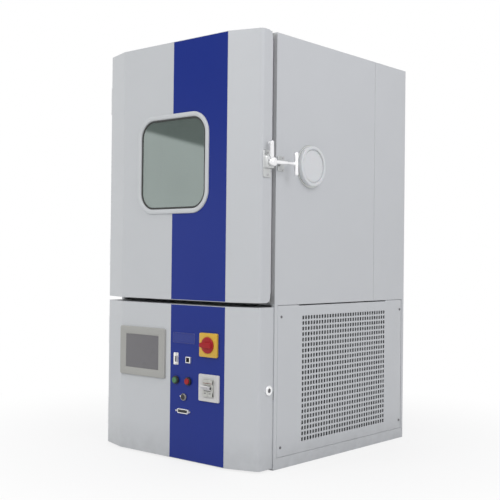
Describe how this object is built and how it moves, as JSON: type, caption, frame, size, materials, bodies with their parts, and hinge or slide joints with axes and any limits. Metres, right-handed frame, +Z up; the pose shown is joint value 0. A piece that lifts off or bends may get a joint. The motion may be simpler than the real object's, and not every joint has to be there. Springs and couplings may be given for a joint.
{
  "type": "environmental test chamber",
  "caption": "Floor-standing climatic chamber: insulated test space behind a hinged window door, on a machine bay with a hinged control panel and a perforated side.",
  "frame": {"origin": "middle of the cabinet's footprint, on the floor face of its base tray", "axes": "+X to the right of someone who faces the door, +Y to the rear, +Z up"},
  "size_m": [0.6505, 0.7775, 1.152],
  "materials": {
    "light_grey_paint": "fine textured powder coat",
    "stainless_steel": "satin brushed",
    "foam": "rigid foam",
    "motor_black": "semi-gloss",
    "fin_aluminium": "mill finish",
    "chrome": "polished",
    "black_paint": "semi-gloss",
    "box_grey": "fine texture",
    "black_plastic": "satin",
    "pale_silicone": "smooth",
    "black_rubber": "matt",
    "white_frame": "satin",
    "window_glass": "clear with a faint tint",
    "beige_plastic": "fine texture",
    "screen_glass": "gloss",
    "yellow_plastic": "satin",
    "red_plastic": "satin",
    "green_plastic": "satin"
  },
  "bodies": {
    "cabinet": {"lower_frame": "light_grey_paint", "corner_posts": "light_grey_paint", "casing_left": "light_grey_paint", "casing_right_front": "light_grey_paint", "casing_right_rear": "light_grey_paint", "casing_top": "light_grey_paint", "casing_back": "light_grey_paint", "rear_bay_panel": "light_grey_paint", "side_vent_panel": "light_grey_paint", "side_plain_panel": "light_grey_paint", "mouth_frame": "stainless_steel", "chamber_liner": "stainless_steel", "chamber_insulation": "foam", "shelf_runners": "stainless_steel", "air_baffle": "stainless_steel", "blower_motor": "motor_black", "evaporator_coil": "fin_aluminium", "heater_element": "stainless_steel", "port_sleeve": "stainless_steel", "latch_keeper": "chrome", "compressor": "black_paint", "condenser_coil": "fin_aluminium", "fan_shroud": "black_paint", "electric_box": "box_grey", "supply_inlet": "black_plastic", "door_hinge_upper_pin": "chrome", "door_hinge_lower_pin": "chrome", "panel_hinge_upper_pin": "chrome", "panel_hinge_lower_pin": "chrome"},
    "shelf": {"wire_shelf": "stainless_steel"},
    "blower": {"blower_wheel": "fin_aluminium"},
    "cable_plug": {"port_plug": "pale_silicone"},
    "fan": {"cooling_fan": "black_plastic"},
    "door": {"door_skin": "light_grey_paint", "door_liner": "stainless_steel", "door_insulation": "foam", "door_gasket": "black_rubber", "window_frame": "white_frame", "outer_pane": "window_glass", "inner_pane": "window_glass", "door_hinge_upper_socket": "chrome", "door_hinge_lower_socket": "chrome", "latch_bracket": "chrome"},
    "latch": {"latch_lever": "chrome"},
    "panel": {"control_panel": "light_grey_paint", "touch_panel": "beige_plastic", "touch_screen": "screen_glass", "main_switch_base": "yellow_plastic", "breaker_frame": "white_frame", "breaker_body": "box_grey", "button_sleeves": "black_plastic", "data_sockets": "black_plastic", "lock_body": "chrome", "panel_hinge_upper_socket": "chrome", "panel_hinge_lower_socket": "chrome"},
    "lock": {"lock_rotor": "chrome"},
    "knob": {"main_switch_knob": "red_plastic"},
    "toggle": {"breaker_toggle": "white_frame"},
    "green_key": {"green_button": "green_plastic"},
    "red_key": {"red_button": "red_plastic"}
  },
  "joints": [
    {"name": "door_swing", "type": "hinge", "parent": "cabinet", "child": "door", "pos_m": [-0.305, -0.328, 0.795], "axis": [0, 0, -1], "range_deg": [0, 110]},
    {"name": "latch_turn", "type": "hinge", "parent": "door", "child": "latch", "pos_m": [0.297, -0.355, 0.805], "axis": [-1, 0, 0], "range_deg": [0, 90]},
    {"name": "control_panel_swing", "type": "hinge", "parent": "cabinet", "child": "panel", "pos_m": [-0.305, -0.328, 0.216], "axis": [0, 0, -1], "range_deg": [0, 100]},
    {"name": "lock_turn", "type": "hinge", "parent": "panel", "child": "lock", "pos_m": [0.297, -0.34, 0.211], "axis": [1, 0, 0], "range_deg": [0, 90]},
    {"name": "main_switch_turn", "type": "hinge", "parent": "panel", "child": "knob", "pos_m": [0.147, -0.405, 0.323], "axis": [0, 1, 0], "range_deg": [0, 90]},
    {"name": "breaker_toggle_flip", "type": "hinge", "parent": "panel", "child": "toggle", "pos_m": [0.149, -0.414, 0.209], "axis": [1, 0, 0], "range_deg": [0, 50]},
    {"name": "green_button_press", "type": "slide", "parent": "panel", "child": "green_key", "axis": [0, 1, 0], "range_m": [0, 0.003], "stiffness_N_per_m": 400, "springref_m": -0.001},
    {"name": "red_button_press", "type": "slide", "parent": "panel", "child": "red_key", "axis": [0, 1, 0], "range_m": [0, 0.003], "stiffness_N_per_m": 400, "springref_m": -0.001},
    {"name": "shelf_slide", "type": "slide", "parent": "cabinet", "child": "shelf", "axis": [0, -1, 0], "range_m": [0, 0.018]},
    {"name": "cable_plug_pull", "type": "slide", "parent": "cabinet", "child": "cable_plug", "axis": [1, 0, 0], "range_m": [0, 0.12]},
    {"name": "blower_spin", "type": "hinge", "parent": "cabinet", "child": "blower", "pos_m": [0, 0.12, 0.93], "axis": [0, 1, 0], "continuous": true},
    {"name": "cooling_fan_spin", "type": "hinge", "parent": "cabinet", "child": "fan", "pos_m": [0.19, 0.005, 0.2305], "axis": [1, 0, 0], "continuous": true}
  ]
}
